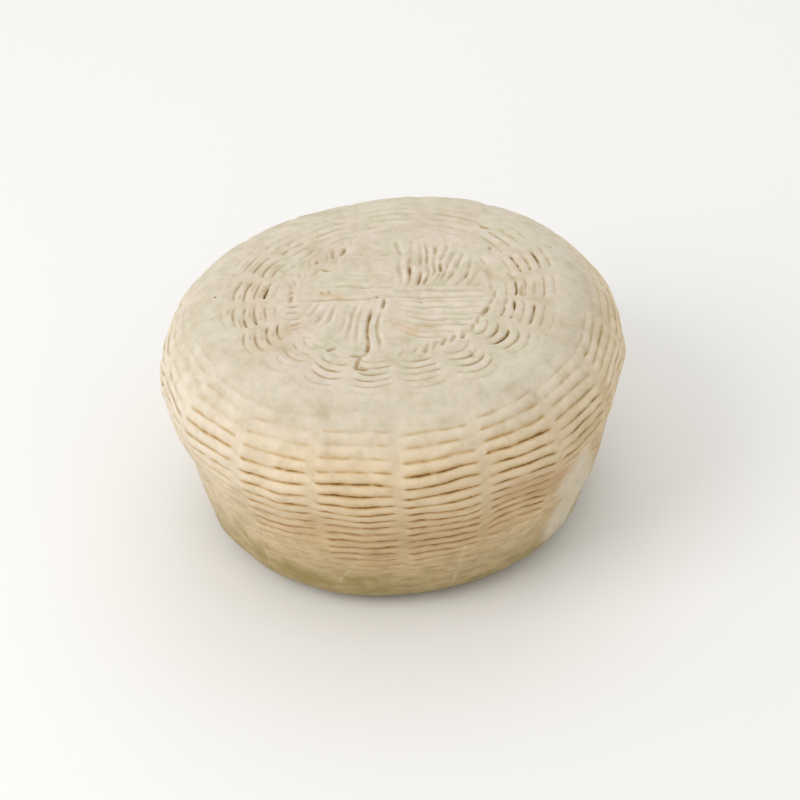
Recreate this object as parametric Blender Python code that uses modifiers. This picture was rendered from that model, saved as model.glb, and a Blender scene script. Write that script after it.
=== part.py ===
"""A whole goat cheese, pressed and drained in a woven basket.

The body is a squat wheel, turned from a profile, that narrows towards its base. The profile is
then made as uneven as a hand-made cheese, and takes the print of the basket: twined rows round
the side, interrupted at every upright of the basket, and rings of short rows round the top.

Metres, +Z up. The base lies on z = 0, and the origin is at the middle of the base's bounding box.
"""
import bpy
import numpy as np
from math import radians, tan, pi
from mathutils import Matrix

MM = 0.001

# The wheel: a cone that narrows downwards, with its two corners rounded.
WIDEST_RADIUS = 80.0 * MM
HEIGHT = 84.4 * MM
SIDE_TAPER = radians(15.2)
SHOULDER_RADIUS = 24.8 * MM
BASE_EDGE_RADIUS = 16.0 * MM
TOP_CROWN = 3.0 * MM            # how far the widest part lies below a flat-topped wheel's

# Unevenness by hand: an oval, a three-cornered and a four-cornered part, and a lean.
OVAL_AT_BASE = 0.082
OVAL_AT_TOP = 0.038
OVAL_DIRECTION = radians(45.0)
THREE_CORNERED = 0.018
THREE_CORNERED_DIRECTION = radians(58.0)
FOUR_CORNERED = 0.010
FOUR_CORNERED_DIRECTION = radians(52.0)
LEAN_X = -0.060                 # sideways shift per unit of height

# Soft bulges and dents of the side: angle, place along the profile, breadth, and push outwards.
HAND_MARKS = (
    (radians(22), 86 * MM, 13 * MM, 1.1 * MM),
    (radians(42), 76 * MM, 11 * MM, -0.8 * MM),
    (radians(349), 101 * MM, 13 * MM, -1.0 * MM),
    (radians(254), 152 * MM, 14 * MM, 0.7 * MM),
)

# The basket: uprights, bunched closer on one side, and the twined rows between them.
UPRIGHTS = 18
UPRIGHT_STEP = 2 * pi / UPRIGHTS
BUNCHING = radians(6.8)
BUNCHING_PHASE = radians(6.0)
BUNCHING_SHIFT = radians(-2.7)
COLUMNS_PER_CELL = 4
COLUMNS = UPRIGHTS * COLUMNS_PER_CELL

# Places along the profile are lengths measured over the surface from the middle of the top.
SIDE_ROWS = 14
FIRST_SIDE_ROW = 66.4 * MM
SIDE_ROW_PITCH = 4.12 * MM
SIDE_ROW_DEPTH = 1.15 * MM
SIDE_ROW_TILT = 3.0 * MM        # the rows lie lower at +X and higher at -X
SIDE_ROW_SLANT = 2.4 * MM       # rise of a row between two uprights
SIDE_STRONGEST = 91.0 * MM      # where the side's print is deepest
SIDE_FADE = 30.0 * MM

RING_PLACE = 34.0 * MM
RING_DEPTH = 0.9 * MM
TOP_ROWS = 6
FIRST_TOP_ROW = 38.8 * MM
TOP_ROW_PITCH = 3.6 * MM
TOP_ROW_DEPTH = 0.7 * MM
TOP_ROW_CURL = 1.2 * MM         # the rows' ends turn in towards the middle at the uprights

TOP_RINGS = 5                   # plain rings of the mesh inside the ring of the print
FOOT_RINGS = 5                  # plain rings between the side's last row and the base edge
BASE_EDGE_RINGS = 5

CREAM = (0.66, 0.54, 0.37, 1.0)
CREAM_ROUGHNESS = 0.55


def profile_lengths():
    """Lengths of the profile's five stretches: top, shoulder, side, base edge and base."""
    shoulder_turn = pi / 2 + SIDE_TAPER
    base_turn = pi / 2 - SIDE_TAPER
    top_flat = WIDEST_RADIUS - SHOULDER_RADIUS
    shoulder_cut = SHOULDER_RADIUS * tan(shoulder_turn / 2)
    base_cut = BASE_EDGE_RADIUS * tan(base_turn / 2)
    base_corner = top_flat + shoulder_cut - HEIGHT * tan(SIDE_TAPER)
    side = HEIGHT / np.cos(SIDE_TAPER) - shoulder_cut - base_cut
    return (top_flat, SHOULDER_RADIUS * shoulder_turn, side,
            BASE_EDGE_RADIUS * base_turn, base_corner - base_cut)


def profile(along):
    """Radius, height and downward turn of the profile at given lengths from the top's middle.

    The turn is the angle between the surface and the level: 0 on the top, a quarter turn where
    the wheel is widest, and a half turn on the base.
    """
    top_flat, shoulder, side, base_edge, base_flat = profile_lengths()
    side_turn = pi / 2 + SIDE_TAPER
    on_top = np.clip(along, 0, top_flat)
    on_shoulder = np.clip(along - top_flat, 0, shoulder) / SHOULDER_RADIUS
    on_side = np.clip(along - top_flat - shoulder, 0, side)
    on_edge = np.clip(along - top_flat - shoulder - side, 0, base_edge) / BASE_EDGE_RADIUS
    on_base = np.clip(along - top_flat - shoulder - side - base_edge, 0, base_flat)
    turn = on_shoulder + on_edge
    radius = (on_top + SHOULDER_RADIUS * np.sin(on_shoulder) + on_side * np.cos(side_turn)
              + BASE_EDGE_RADIUS * (np.sin(side_turn + on_edge) - np.sin(side_turn)) - on_base)
    height = (HEIGHT - SHOULDER_RADIUS * (1 - np.cos(on_shoulder)) - on_side * np.sin(side_turn)
              - BASE_EDGE_RADIUS * (np.cos(side_turn) - np.cos(side_turn + on_edge)))
    return radius, height, turn


def upright_angle(cell):
    """Angle round the wheel at a count of cells; whole counts are the basket's uprights."""
    even = UPRIGHT_STEP * cell
    return even + BUNCHING_SHIFT + BUNCHING * np.sin(even + BUNCHING_PHASE)


def unevenness(angle, height):
    """Factor on the radius, as uneven as the hand-made wheel."""
    up = height / HEIGHT
    oval = OVAL_AT_BASE + (OVAL_AT_TOP - OVAL_AT_BASE) * up
    return (1 + oval * np.cos(2 * (angle - OVAL_DIRECTION))
            + THREE_CORNERED * np.cos(3 * (angle - THREE_CORNERED_DIRECTION))
            + FOUR_CORNERED * np.cos(4 * (angle - FOUR_CORNERED_DIRECTION)))


def hand_marks(along, angle):
    """How far the soft bulges and dents push the side out, each a bell round its middle.

    They push sideways only, so the base they fade out towards stays flat.
    """
    push = np.zeros_like(along)
    for mark_angle, mark_along, breadth, mark_push in HAND_MARKS:
        round_the_side = WIDEST_RADIUS * ((angle - mark_angle + pi) % (2 * pi) - pi)
        distance = np.hypot(round_the_side, along - mark_along)
        push = push + mark_push * np.exp(-(distance / breadth) ** 2)
    return push


def side_row(row):
    """Place along the profile of a row on the side, counted from the top; halves lie between."""
    return FIRST_SIDE_ROW + SIDE_ROW_PITCH * row


def top_row(row):
    """Place along the profile of a row on the top, counted outwards; halves lie between."""
    return FIRST_TOP_ROW + TOP_ROW_PITCH * row


def ring_places():
    """Places along the profile of the mesh's rings, from the top's middle to the base's."""
    top_flat, shoulder, side, base_edge, base_flat = profile_lengths()
    side_end = top_flat + shoulder + side
    plain_top = RING_PLACE * np.arange(TOP_RINGS + 1) / (TOP_RINGS + 1.5)
    ring = RING_PLACE + np.array([-2.0, 0.0, 2.0]) * MM
    top_print = top_row(np.arange(0, TOP_ROWS, 0.5))
    side_print = side_row(np.arange(-0.5, SIDE_ROWS, 0.5))
    band = [(top_print[-1] + side_print[0]) / 2]
    foot = np.linspace(side_print[-1], side_end, FOOT_RINGS + 1)[1:]
    edge = side_end + base_edge * np.arange(1, BASE_EDGE_RINGS + 1) / BASE_EDGE_RINGS
    base = side_end + base_edge + base_flat * np.array([0.5, 1.0])
    return np.concatenate([plain_top, ring, top_print, band, side_print, foot, edge, base])


def between_uprights(cell):
    """1 in the middle of a cell, 0 at the uprights, where the print fades out."""
    return np.abs(np.sin(pi * cell)) ** 0.6


def is_groove(along, first, pitch, rows):
    """Whether a mesh ring lies on one of the rows, and not between two of them."""
    row = (along - first) / pitch
    return (np.abs(row - np.round(row)) < 0.1) & (row > -0.1) & (row < rows - 0.9)


def print_depth(along, cell):
    """Depth that the basket pressed into the surface, at the turned blank's rings."""
    patchy = 0.85 + 0.15 * np.sin(2.3 * cell + 0.9 * along / SIDE_ROW_PITCH)
    fade = np.exp(-((along - SIDE_STRONGEST) / SIDE_FADE) ** 2)
    on_side = is_groove(along, FIRST_SIDE_ROW, SIDE_ROW_PITCH, SIDE_ROWS)
    on_top = is_groove(along, FIRST_TOP_ROW, TOP_ROW_PITCH, TOP_ROWS)
    on_ring = np.abs(along - RING_PLACE) < 0.1 * MM
    return (on_side * SIDE_ROW_DEPTH * fade * between_uprights(cell) * patchy
            + on_top * TOP_ROW_DEPTH * between_uprights(cell) * patchy
            + on_ring * RING_DEPTH)


def row_shift(along, cell):
    """How far the rows run off their level along the profile, on the side and on the top."""
    within = np.where(np.abs(cell - np.round(cell)) < 0.01, 0.5, cell % 1.0)
    on_side = np.clip((along - top_row(TOP_ROWS)) / (SIDE_ROW_PITCH * 2), 0, 1)
    side_end = sum(profile_lengths()[:3])
    on_side = on_side * np.clip((side_end - along) / (SIDE_ROW_PITCH * 4), 0, 1)
    on_top = (along > top_row(-0.6)) & (along < top_row(TOP_ROWS))
    tilt = SIDE_ROW_TILT * np.cos(upright_angle(cell))
    slant = SIDE_ROW_SLANT * (within - 0.5)
    curl = TOP_ROW_CURL * (1 - between_uprights(cell))
    return on_side * (tilt - slant) - on_top * curl


def cheese_surface(along, cell):
    """Points of the finished surface, from the place along the profile and the count of cells."""
    moved = along + row_shift(along, cell)
    radius, height, turn = profile(moved)
    angle = upright_angle(cell)
    depth = print_depth(along, cell)
    radius = radius - (depth - hand_marks(moved, angle)) * np.sin(turn)
    height = height - depth * np.cos(turn)
    height = height - TOP_CROWN * (radius / WIDEST_RADIUS) ** 4 * height / HEIGHT
    radius = radius * unevenness(angle, height)
    return np.stack([radius * np.cos(angle) + LEAN_X * height, radius * np.sin(angle), height], -1)


def turned_blank(places):
    """The wheel before its print: the profile at +X, from the top down, under a Screw modifier."""
    radius, height, _ = profile(places)
    mesh = bpy.data.meshes.new("profile")
    points = np.stack([radius, np.zeros_like(radius), height], -1)
    edges = [(i, i + 1) for i in range(len(places) - 1)]
    mesh.from_pydata(points.tolist(), edges, [])
    blank = bpy.data.objects.new("blank", mesh)
    bpy.context.scene.collection.objects.link(blank)
    screw = blank.modifiers.new("turn", 'SCREW')
    screw.steps = COLUMNS
    screw.render_steps = COLUMNS
    screw.use_merge_vertices = True
    screw.merge_threshold = 0.00001
    graph = bpy.context.evaluated_depsgraph_get()
    turned = bpy.data.meshes.new_from_object(blank.evaluated_get(graph))
    bpy.data.objects.remove(blank)
    bpy.data.meshes.remove(mesh)
    return turned


def press_in_basket(mesh, places):
    """Moves every point of the turned blank to its place on the finished surface."""
    points = np.empty(len(mesh.vertices) * 3)
    mesh.vertices.foreach_get("co", points)
    points = points.reshape(-1, 3)
    ring_radius, ring_height, _ = profile(places)
    off_radius = np.hypot(points[:, 0], points[:, 1])[:, None] - ring_radius
    off_height = points[:, 2][:, None] - ring_height
    along = places[np.argmin(off_radius ** 2 + off_height ** 2, axis=1)]
    cell = (np.arctan2(points[:, 1], points[:, 0]) % (2 * pi)) / UPRIGHT_STEP
    mesh.vertices.foreach_set("co", cheese_surface(along, cell).ravel())
    mesh.update()


def centre_on_base(mesh):
    """Shifts the mesh so that the origin is in the middle of its outline, seen from above."""
    points = np.array([vertex.co for vertex in mesh.vertices])
    middle = (points.min(axis=0) + points.max(axis=0)) / 2
    mesh.transform(Matrix.Translation((-middle[0], -middle[1], -points[:, 2].min())))


def cheese_material():
    """Cream paste under a thin dry rind."""
    material = bpy.data.materials.new("rind")
    material.use_nodes = True
    shader = material.node_tree.nodes["Principled BSDF"]
    shader.inputs["Base Color"].default_value = CREAM
    shader.inputs["Roughness"].default_value = CREAM_ROUGHNESS
    shader.inputs["Metallic"].default_value = 0.0
    return material


def make_cheese(collection):
    """The whole cheese, one closed body."""
    places = ring_places()
    mesh = turned_blank(places)
    mesh.name = "goat_cheese"
    press_in_basket(mesh, places)
    centre_on_base(mesh)
    mesh.shade_smooth()
    mesh.materials.clear()
    mesh.materials.append(cheese_material())
    cheese = bpy.data.objects.new("goat_cheese", mesh)
    collection.objects.link(cheese)
    return cheese


def main():
    for old in list(bpy.data.objects):
        bpy.data.objects.remove(old)
    collection = bpy.data.collections.new("goat_cheese")
    bpy.context.scene.collection.children.link(collection)
    make_cheese(collection)


main()
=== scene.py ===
"""Looks of a whole goat cheese that was pressed and drained in a woven basket.

The rind is one surface of two parameters: the place along the wheel's profile, measured over the
surface from the middle of the top, and the angle round the wheel. The basket's print is worked out
with it as a depth at every point, and the mesh carries to the material how stained each point is,
part of which is painted shade in the print, and with what tint, its crests with their painted
highlight, washes of colour, streaks and specks, and its place.

Lengths are millimetres until a mesh, a lamp or the camera is made, and angles are degrees until
a sine or a cosine is taken. A random field lies about 0, mostly between -2 and 2.
"""
from math import cos, pi, radians, sin, tan

import bpy
import numpy as np
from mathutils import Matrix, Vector


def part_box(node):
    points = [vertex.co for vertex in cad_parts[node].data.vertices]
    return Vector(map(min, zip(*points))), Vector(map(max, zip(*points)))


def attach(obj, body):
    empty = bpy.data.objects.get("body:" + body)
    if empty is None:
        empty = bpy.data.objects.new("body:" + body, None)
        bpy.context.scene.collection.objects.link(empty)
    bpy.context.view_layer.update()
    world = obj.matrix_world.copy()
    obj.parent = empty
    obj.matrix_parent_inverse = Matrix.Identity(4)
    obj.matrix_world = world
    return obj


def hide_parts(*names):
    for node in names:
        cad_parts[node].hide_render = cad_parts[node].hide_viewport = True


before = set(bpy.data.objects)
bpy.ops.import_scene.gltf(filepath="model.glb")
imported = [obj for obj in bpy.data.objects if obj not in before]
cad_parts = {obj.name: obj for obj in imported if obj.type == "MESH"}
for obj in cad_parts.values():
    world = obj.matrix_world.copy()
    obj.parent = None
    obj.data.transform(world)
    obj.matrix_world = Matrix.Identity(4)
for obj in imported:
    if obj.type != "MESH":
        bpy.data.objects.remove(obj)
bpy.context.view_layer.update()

MM = 0.001
NODE = "goat_cheese"

# --- The wheel: a cone that narrows downwards, with its two corners rounded ---
WIDEST_RADIUS = 80.0
HEIGHT = (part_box(NODE)[1].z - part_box(NODE)[0].z) / MM
SIDE_TAPER = radians(15.2)
SHOULDER_RADIUS = 24.8
BASE_EDGE_RADIUS = 16.0
TOP_CROWN = 3.0
AXIS_FOOT = (4.70, -0.42)       # where the wheel's axis meets the base

# Unevenness by hand: an oval, a three-cornered and a four-cornered part, and a lean.
OVAL_AT_BASE = 0.082
OVAL_AT_TOP = 0.038
OVAL_DIRECTION = 45.0
THREE_CORNERED = 0.018
THREE_CORNERED_DIRECTION = 58.0
FOUR_CORNERED = 0.010
FOUR_CORNERED_DIRECTION = 52.0
LEAN_X = -0.060
LUMP_HEIGHT = 0.30
LUMP_SIZE = 24.0
SMALL_LUMPS = 0.4               # the smaller lumps' size and height, as a share of the others'
TOP_LUMPS = 0.4                 # share of the lumps' height that goes into the top
TOP_LUMPS_END = (50, 70)        # and the places between which that ends
CURD_HEIGHT = 0.030
CURD_SIZE = 5
FINE_CURD_SIZE = 2.6
FINE_CURD_SHARE = 0.7
CURD_WAVES = 40
WAVE_SPREAD = (0.75, 1.4)       # the waves of a random field are its size times these
UNEVEN_LIMITS = (0.5, 1.4)      # a print's unevenness stays between these factors
BASE_EDGE = (157.0, 164.0)      # the rind's fine unevenness ends between these places

# Soft bulges and dents of the side: angle, place, breadth, and push outwards.
HAND_MARKS = ((22, 86, 13, 0.5), (42, 76, 11, -1.2), (349, 101, 13, -1.0), (254, 152, 14, 0.7),
              (112, 68, 16, -0.9), (136, 66, 12, -0.9), (157, 72, 12, -0.8), (58, 70, 10, -0.6),
              (180, 86, 14, -0.7), (209, 120, 17, -1.4), (333, 106, 7.5, -1.8), (337, 125, 10, 1.2))
UPRIGHT_DENT = 0.45             # how deep each of the basket's uprights presses into the side
UPRIGHT_WIDTH = 1.8
UPRIGHT_PLACES = ((58, 70), (128, 145))     # these dents begin and end between these places

# --- The basket's uprights, bunched closer on one side, and leaning over as they cross the top ---
UPRIGHTS = 18
UPRIGHT_STEP = 360 / UPRIGHTS
BUNCHING = 6.8
BUNCHING_PHASE = 6.0
BUNCHING_SHIFT = -2.7
TOP_SHIFTS = (-2, -7, -11, -12, -6, 2, 10, 10, 10.5, 11, 9.7, 7.6, 5.4, 2.5, 1.2, 1.2, 1.5, 0.8)
TOP_SHIFT_ENDS = (50.0, 74.0)   # the lean fades out between these places
JOINT = 0.07                    # share of a cell over which its rows pass into the next one's

# --- Rows: for each cell the first row's place, the pitch, how far a row climbs from left to right,
# and how much further out its ends lie than its middle; where more numbers follow, they are what
# each further row adds to the last two. Then comes the strength of each row in turn. ---
TOP_ROWS = {
    0: ((39.7, 3.30, 0.2, -0.3), (0.5, 1.1, 0.7, 0.65, 0.7, 0.5)),
    1: ((41.8, 3.65, 0.6, -0.6), (0.4, 1.0, 0.7, 0.9, 0.6, 0.0)),
    2: ((40.0, 3.80, 0.0, -0.8), (0.4, 0.6, 0.7, 0.6, 0.4, 0.2)),
    3: ((39.5, 3.60, 0.0, -1.0), (0.4, 0.5, 0.45, 0.5, 0.4, 0.2)),
    4: ((39.0, 3.60, 0.0, -1.0), (0.3, 0.4, 0.45, 0.45, 0.4, 0.2)),
    5: ((39.0, 3.60, 0.0, -1.0), (0.4, 0.4, 0.5, 0.4, 0.35, 0.2)),
    6: ((39.0, 3.60, 0.0, -0.8), (0.4, 0.5, 0.6, 0.6, 0.5, 0.2)),
    7: ((38.5, 3.60, -0.6, -0.6), (0.4, 0.75, 0.9, 0.9, 0.6, 0.3)),
    8: ((39.0, 3.40, -1.6, -0.4), (0.3, 1.1, 0.8, 0.8, 0.7, 0.4)),
    9: ((39.8, 3.50, -1.5, -0.6), (0.4, 0.7, 0.9, 0.9, 0.8, 0.4)),
    10: ((39.3, 3.90, -3.5, -2.0), (0.4, 0.8, 0.9, 0.8, 0.6, 0.2)),
    11: ((40.0, 3.90, -1.0, -2.6), (0.5, 0.6, 0.6, 0.4, 0.3, 0.1)),
    12: ((39.6, 3.70, -0.4, -2.0), (0.5, 0.7, 1.0, 0.8, 0.5, 0.3)),
    13: ((40.4, 3.20, 1.5, -2.6), (0.5, 1.0, 0.9, 0.8, 0.5, 0.3)),
    14: ((40.2, 3.40, 0.0, -1.6), (0.9, 0.75, 0.75, 0.65, 0.4, 0.2)),
    15: ((40.6, 3.90, 0.0, -4.2), (0.6, 0.9, 0.85, 0.7, 0.4, 0.1)),
    16: ((38.3, 3.90, 0.6, -3.2), (0.6, 0.9, 1.0, 0.8, 0.5, 0.2)),
    17: ((39.9, 3.50, 0.8, -0.8), (0.8, 1.05, 0.7, 0.95, 0.6, 0.4)),
}
SIDE_ROWS = {
    10: ((66.6, 3.75, 0.8, 0.5), (0.3, 0.35, 0.35, 0.4, 0.45, 0.6, 0.45, 0.35, 0.25, 0.1)),
    11: ((68.2, 4.00, 0.4, 0.6), (0.35, 0.4, 0.45, 0.65, 0.7, 0.6, 0.55, 0.5, 0.4, 0.3, 0.2)),
    12: ((67.6, 4.38, 2.0, 0.2, 0.05),
         (0.3, 0.45, 0.5, 0.55, 0.75, 0.75, 0.85, 0.95, 0.85, 0.7, 0.65, 0.5, 0.35, 0.2)),
    13: ((70.6, 4.02, 0.6, 0.4, 0.10),
         (0.4, 0.5, 0.55, 0.6, 0.95, 1.2, 1.15, 1.1, 1.0, 0.9, 0.9, 0.85, 0.8, 0.7, 0.5, 0.3)),
    14: ((71.3, 4.02, 1.2, 0.3),
         (0.5, 0.65, 0.75, 0.95, 1.0, 1.1, 1.0, 1.0, 1.0, 0.95, 0.95, 0.9, 0.8, 0.7, 0.5, 0.3)),
    15: ((68.9, 3.93, 1.6, 0.0, -0.55, 0.25),
         (0.5, 0.7, 0.9, 1.1, 0.85, 1.1, 1.05, 1.0, 1.0, 1.0, 1.0, 0.95, 0.7, 0.4)),
    16: ((68.6, 3.60, 0.2, 0.3, -0.25, 0.15),
         (0.4, 0.55, 0.7, 0.65, 0.7, 0.75, 0.85, 0.9, 0.7, 0.5, 0.2)),
    17: ((68.5, 3.45, 0.4, -0.3, -0.1), (0.5, 0.75, 0.85, 0.6, 0.6, 0.6, 0.6, 0.5, 0.4, 0.2)),
}
ROW_NUMBERS = 6                 # how many numbers can place a cell's rows
LAST_CHANGE = 10                # from this row down, climb and droop don't change any more
SIDE_SINK = 0.9                 # a sunken row looks this much higher, so it is laid lower,
SINK_ROWS = (0, 4)              # more and more between these counts
RELAXED_ROWS = (11, 17.5)       # between these counts the rows grow level,
RELAXED_SHARE = 0.8             # up to this share of the way
HIDDEN_ROWS = ((68.8, 4.05, 1.4, 0.3),
               (0.25, 0.45, 0.6, 0.75, 0.9, 1, 0.95, 0.85, 0.75, 0.6, 0.5, 0.35, 0.2, 0.1))
HIDDEN_TILT = 1.4               # the hidden rows lie lower at +X and higher at -X
HIDDEN_SEED = 100
HIDDEN_SPREAD = (0.5, 0.06, 0.5, 0.3)       # how far chance moves the numbers that place them
HIDDEN_FACTORS = (0.7, 1.15)
TOP_ROW_COUNT = 6
SIDE_ROW_COUNT = 18
ROPE_CREST = 0.42               # the way from a seam to the strand's crest, as a share of its pitch
NO_ROW = ROPE_CREST - 1         # the count of rows where there are none
ROW_PITCH = 4.0                 # turns a count of rows into a distance across the seam
ROW_WANDER = 0.14
WIDE_WANDER_SIZE = 17
NARROW_WANDER_SIZE = 7
NARROW_WANDER = 0.25            # share of the narrow wander that is left in the upper rows
WANDER_ROWS = (6, 10)
ROW_ENDS = (0.1, 1.5)           # the least and the most of its margin that a row leaves free
SIDE_MARGIN = 0.015             # share of a cell that its rows leave free at an upright
TOP_MARGIN = 0.09
SIDE_END_SLOPE = 0.10           # share of a cell over which a row fades to its end
TOP_END_SLOPE = 0.15
# Breadth of the painted highlight below each seam.
CREST_HIGHLIGHT_WIDTH = 1.0

# Rows of the top: rounded strands, a crevice in dashes, and weak lines between the rows.
TOP_ROPE_DEPTH = 0.64
TOP_ROPE_POWER = 2.0
TOP_SEAM_DEPTH = 0.20
TOP_SEAM_WIDTH = 0.40
TOP_UNEVENNESS = ((0.25, 9, 46),)           # random fields, as share, size and seed
DASH_SIZE = 4.5
DASH_FIELD = (-1.3, -0.2)       # a dash begins where its random field is between these
DASH_GAP = 0.35                 # what is left of a row between two dashes
TOP_STAIN = (0.44, 0.36)        # at least, and with the square of the print's strength
TOP_STAIN_WIDTH = 0.50
# Painted highlight on the top's strands: its strength, and its distance below each seam.
TOP_CREST_HIGHLIGHT = 0.8
TOP_HIGHLIGHT_AT = 2.2
DOUBLED_CELLS = ((7.0, 7.5), (11.5, 12.0))  # weak lines come in and go out between these
WEAK_STRENGTH = 0.6
WEAK_SIZE = 5
WEAK_FIELD = (-0.6, 0.5)
WEAK_DEPTH = 0.4
WEAK_WIDTH = 0.6
WEAK_STAIN = 0.7
WEAK_STAIN_WIDTH = 0.45

# Rows of the side. Of two numbers, the first is for the lower rows and the second for the soft
# ones; the core is the dark line in the crevice, and the halo the pale stain a little above it, which
# is also painted shade on the lower side of the strand above.
SOFT_ROWS = (76, 88)            # above these places the side's rows are wider and softer
ROPE_DEPTH = 0.46               # how deep the seam lies between two rounded strands of the side
ROPE_BY_STRENGTH = 0.6          # the power of a row's strength that it goes with
ROPE_POWER = (3.0, 1.8)
SEAM_DEPTH = 0.40               # and how much deeper the thin crevice in it goes
SEAM_SHARE = (1.0, 0.4)
SEAM_WIDTH = (0.25, 0.40)
SIDE_UNEVENNESS = ((0.20, 11, 41), (0.14, 5, 42))
SIDE_LIMITS = (0.45, 1.4)
TWIST_HEIGHT = 0.045            # the fine unevenness along a strand
TWIST_SIZE = 3.6
BREAK_SIZE = 3.8
BREAK_FIELD = (-1.7, -0.4)
CORE_STAIN = (0.86, 0.32)
CORE_WIDTH = (0.25, 0.475)
CORE_WIDER = 0.15               # added to it low on the side
CORE_GAP = 0.30                 # what is left of the core where the crevice is broken
HALO_STAIN_AND_SHADE = (0.34, 0.24)
HALO_AT = 0.45
HALO_WIDTH = 0.95
STAIN_CONTRAST = 1.2
# The painted highlight on a side strand lies this far below each seam.
SIDE_HIGHLIGHT_AT = 1.4
BALD_LOSS = 0.9                 # how much of the print is lost on the smooth patch
BALD_EDGE = (0.25, 0.7)
OLIVE_CELLS = (13.5, 1.6, 3.2)  # rows turn olive from the second to the third number from the first
REDDISH_ROWS = (98, 112)        # rows of the front turn reddish between these places
OLIVE_TINT = -0.6
REDDISH_TINT = 0.5

# --- The mesh: columns between two uprights, lines of it in each row, and other rings ---
COLUMNS_PER_CELL = 20
ROW_LINES = (-0.32, -0.15, -0.06, 0.0, 0.06, 0.14, 0.26, ROPE_CREST)
FAINT_ROW_LINES = (-0.28, -0.10, 0.0, 0.10, 0.25, ROPE_CREST)
FAINT_ROWS = 9                  # from this row down, the side has the second set of lines
MIDDLE_END = 20.0
MIDDLE_RINGS = 36
ROSETTE_RINGS = 40
BAND_RINGS = 9
FOOT_RINGS = 13
BASE_RINGS = 5


def bell(distance, width):
    """1 at no distance, falling off as the exponential of minus its square."""
    return np.exp(-(distance / width) ** 2)


def rise(value, low, high):
    """0 below low and 1 above high, with a smooth climb between them."""
    share = np.clip((value - low) / (high - low), 0, 1)
    return share * share * (3 - 2 * share)


def span(value, start, end):
    """1 between two smooth climbs, the first of which goes up and the second down again."""
    return rise(value, *start) * (1 - rise(value, *end))


def mix(share, first, second):
    """The first where the share is 0, the second where it is 1, and evenly between."""
    return first + share * (second - first)


def bells(distance, width, parts):
    """A sum of bells, each given by its share and its breadth as a multiple of the width."""
    return sum(share * bell(distance, breadth * width) for share, breadth in parts)


def swell(points, size, seed, waves=26):
    """A smooth random field, whose humps are of that size: a sum of waves in random directions."""
    dice = np.random.default_rng(seed)
    directions = dice.normal(size=(waves, points.shape[-1]))
    directions /= np.linalg.norm(directions, axis=1)[:, None]
    directions *= 2 * pi / (size * dice.uniform(*WAVE_SPREAD, (waves, 1)))
    phases = dice.uniform(0, 2 * pi, waves)
    field = np.zeros(points.shape[:-1])
    for direction, phase in zip(directions, phases):
        field += np.cos(points @ direction + phase)
    return field * (2 / waves) ** 0.5


def uneven_factor(points, parts, limits=UNEVEN_LIMITS):
    """One plus some random fields, each times its share, kept between two limits."""
    fields = sum(share * swell(points, size, seed) for share, size, seed in parts)
    return np.clip(1 + fields, *limits)


def profile_lengths():
    """Lengths of the profile's five stretches: top, shoulder, side, base edge and base."""
    shoulder_turn = pi / 2 + SIDE_TAPER
    base_turn = pi / 2 - SIDE_TAPER
    top_flat = WIDEST_RADIUS - SHOULDER_RADIUS
    shoulder_cut = SHOULDER_RADIUS * tan(shoulder_turn / 2)
    base_cut = BASE_EDGE_RADIUS * tan(base_turn / 2)
    base_corner = top_flat + shoulder_cut - HEIGHT * tan(SIDE_TAPER)
    side = HEIGHT / cos(SIDE_TAPER) - shoulder_cut - base_cut
    return (top_flat, SHOULDER_RADIUS * shoulder_turn, side,
            BASE_EDGE_RADIUS * base_turn, base_corner - base_cut)


def profile(along):
    """Radius, height and downward turn of the profile at given places along it.

    A level stretch, an arc that turns past the upright, a straight taper, an arc that turns in,
    and a level stretch back to the axis; each adds its own share once the place has reached it.
    """
    top_flat, shoulder, side, base_edge, base_flat = profile_lengths()
    side_turn = pi / 2 + SIDE_TAPER
    on_top = np.clip(along, 0, top_flat)
    on_shoulder = np.clip(along - top_flat, 0, shoulder) / SHOULDER_RADIUS
    on_side = np.clip(along - top_flat - shoulder, 0, side)
    on_edge = np.clip(along - top_flat - shoulder - side, 0, base_edge) / BASE_EDGE_RADIUS
    on_base = np.clip(along - top_flat - shoulder - side - base_edge, 0, base_flat)
    radius = (on_top + SHOULDER_RADIUS * np.sin(on_shoulder) + on_side * cos(side_turn)
              + BASE_EDGE_RADIUS * (np.sin(side_turn + on_edge) - sin(side_turn)) - on_base)
    height = (HEIGHT - SHOULDER_RADIUS * (1 - np.cos(on_shoulder)) - on_side * sin(side_turn)
              - BASE_EDGE_RADIUS * (cos(side_turn) - np.cos(side_turn + on_edge)))
    return radius, height, on_shoulder + on_edge


def upright_angle(cell, along):
    """Angle round the wheel at a count of cells; whole counts are the basket's uprights.

    An even turn plus one sine that bunches the uprights, plus a lean that is given for each
    upright and fades out down the shoulder.
    """
    even = UPRIGHT_STEP * cell
    lean = np.interp(cell, np.arange(UPRIGHTS), TOP_SHIFTS, period=UPRIGHTS)
    return (even + BUNCHING_SHIFT + BUNCHING * np.sin(np.radians(even + BUNCHING_PHASE))
            + lean * (1 - rise(along, *TOP_SHIFT_ENDS)))


def unevenness(angle, height):
    """Factor on the radius: one plus a share of the cosines of two, three and four turns."""
    oval = OVAL_AT_BASE + (OVAL_AT_TOP - OVAL_AT_BASE) * height / HEIGHT
    return (1 + oval * np.cos(2 * np.radians(angle - OVAL_DIRECTION))
            + THREE_CORNERED * np.cos(3 * np.radians(angle - THREE_CORNERED_DIRECTION))
            + FOUR_CORNERED * np.cos(4 * np.radians(angle - FOUR_CORNERED_DIRECTION)))


def hand_marks(along, angle):
    """How far the soft bulges and dents push the side out: a bell round the middle of each."""
    push = np.zeros_like(along)
    for mark_angle, mark_along, breadth, mark_push in HAND_MARKS:
        round_the_side = WIDEST_RADIUS * np.radians((angle - mark_angle + 180) % 360 - 180)
        push += mark_push * bell(np.hypot(round_the_side, along - mark_along), breadth)
    return push


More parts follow.
